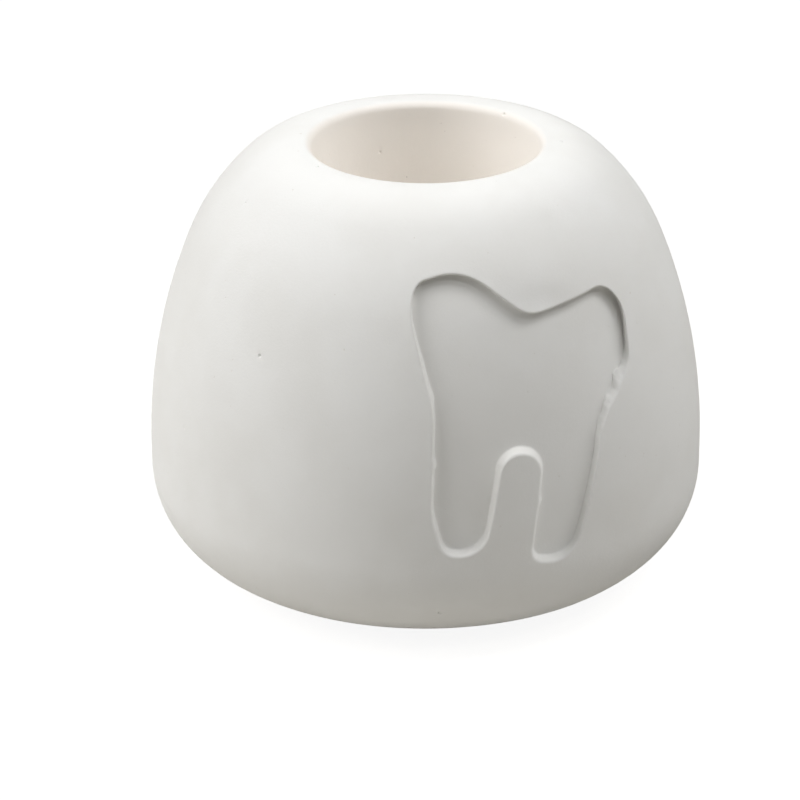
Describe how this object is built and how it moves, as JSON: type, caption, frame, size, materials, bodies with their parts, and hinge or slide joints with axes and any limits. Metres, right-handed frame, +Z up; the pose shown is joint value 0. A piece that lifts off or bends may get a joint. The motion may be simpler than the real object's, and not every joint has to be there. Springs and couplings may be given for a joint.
{
  "type": "toothbrush holder",
  "caption": "Heavy round domed cast stand with one open socket in its top that holds a toothbrush upright, and a tooth-shaped recess in its front.",
  "frame": {"origin": "on the socket's axis, at the plane the foot pads stand on", "axes": "+Z up along the socket's axis, -Y towards the front, where the tooth-shaped recess is"},
  "size_m": [0.084, 0.084, 0.067],
  "materials": {
    "cast_stone": "matte, finely porous",
    "foot_pad": "matte"
  },
  "bodies": {
    "root": {"holder_body": "cast_stone", "foot_pad_1": "foot_pad", "foot_pad_2": "foot_pad", "foot_pad_3": "foot_pad", "foot_pad_4": "foot_pad"}
  },
  "joints": []
}
